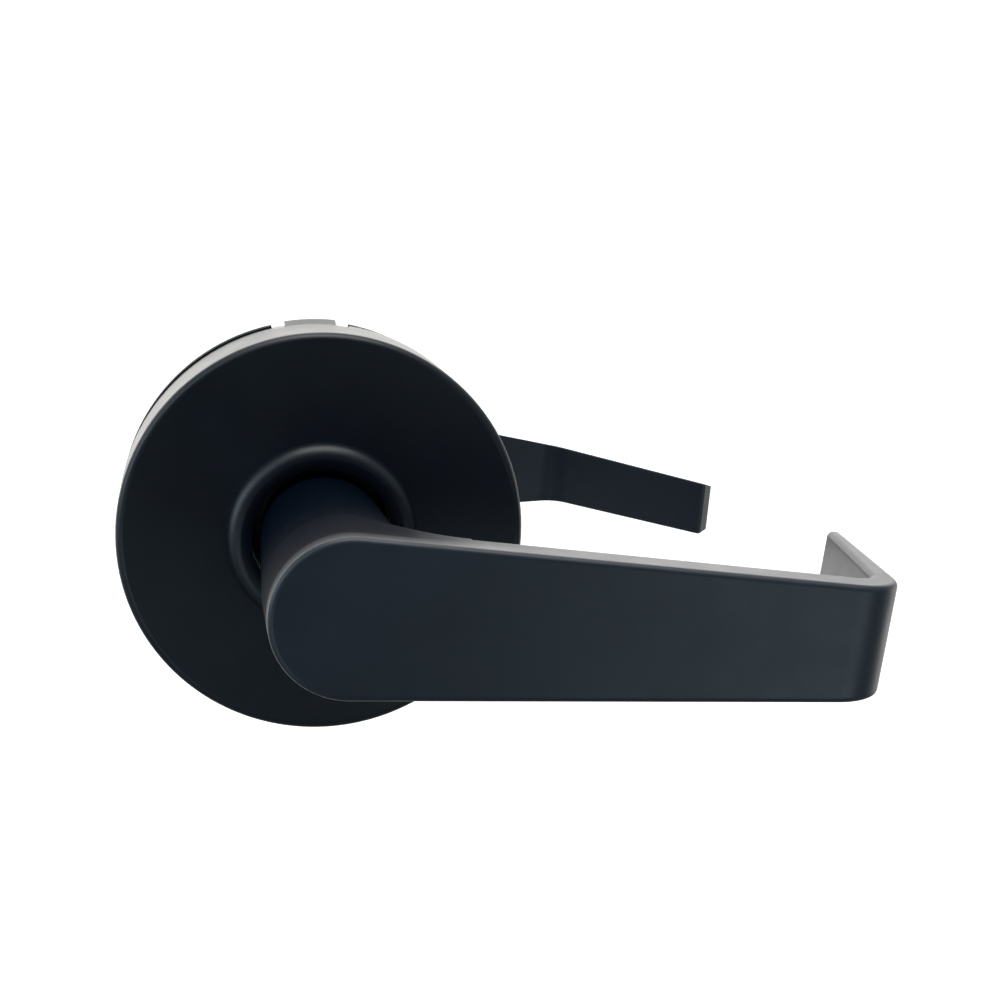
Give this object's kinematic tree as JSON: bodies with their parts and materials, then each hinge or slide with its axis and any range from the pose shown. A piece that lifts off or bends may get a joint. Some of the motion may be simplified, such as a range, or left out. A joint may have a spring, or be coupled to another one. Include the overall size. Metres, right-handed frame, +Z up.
{
  "type": "lever door handle set",
  "caption": "Two-sided matt black passage lever set: round roses closed back to back, spring-returned levers, square spindle.",
  "frame": {"origin": "on the levers' common axis, at the plane where the two halves meet, which is the middle of the door gap when closed up", "axes": "+X along the levers from the hub to the end, +Y through the door from the outside to the inside, +Z up"},
  "size_m": [0.1524, 0.1515, 0.0872],
  "materials": {
    "rose_paint": "matt black powder coat",
    "lever_paint": "matt black powder coat",
    "foam_rubber": "closed-cell foam",
    "zinc_steel": "zinc plated sheet steel",
    "screw_steel": "zinc plated",
    "spring_steel": "oiled spring steel",
    "tube_steel": "turned steel",
    "cam_iron": "sintered",
    "spindle_steel": "drawn square bar",
    "bush_polymer": "natural nylon"
  },
  "bodies": {
    "outside_half": {"outside_rose": "rose_paint", "outside_gasket": "foam_rubber", "outside_mounting_plate": "zinc_steel", "outside_spring_cage": "zinc_steel", "outside_cage_screws": "screw_steel", "outside_bearing_bush": "bush_polymer", "outside_return_spring": "spring_steel", "clinch_nuts": "screw_steel"},
    "outside_lever_body": {"outside_lever": "lever_paint", "outside_return_cam": "cam_iron", "outside_spindle_tube": "tube_steel", "outside_retaining_ring": "spring_steel", "outside_set_screw": "screw_steel", "square_spindle": "spindle_steel"},
    "inside_half": {"inside_rose": "rose_paint", "inside_gasket": "foam_rubber", "inside_mounting_plate": "zinc_steel", "inside_spring_cage": "zinc_steel", "inside_cage_screws": "screw_steel", "inside_bearing_bush": "bush_polymer", "inside_return_spring": "spring_steel"},
    "inside_lever_body": {"inside_lever": "lever_paint", "inside_return_cam": "cam_iron", "inside_spindle_tube": "tube_steel", "inside_retaining_ring": "spring_steel", "inside_set_screw": "screw_steel"}
  },
  "joints": [
    {"name": "lever_turn", "type": "hinge", "parent": "outside_half", "child": "outside_lever_body", "pos_m": [0, 0, 0], "axis": [0, 1, 0], "range_deg": [-45, 45], "stiffness_Nm_per_rad": 1.6, "springref_deg": -5.16, "deforming": ["outside_return_spring"]},
    {"name": "door_gap", "type": "slide", "parent": "outside_half", "child": "inside_half", "axis": [0, 1, 0], "range_m": [0, 0.045]},
    {"name": "inside_lever_turn", "type": "hinge", "parent": "inside_half", "child": "inside_lever_body", "pos_m": [0, 0, 0], "axis": [0, 1, 0], "range_deg": [-45, 45], "stiffness_Nm_per_rad": 1.6, "springref_deg": -2.86, "deforming": ["inside_return_spring"]}
  ],
  "couplings": [
    {"joint": "inside_lever_turn", "follows": "lever_turn", "ratio": 1}
  ]
}
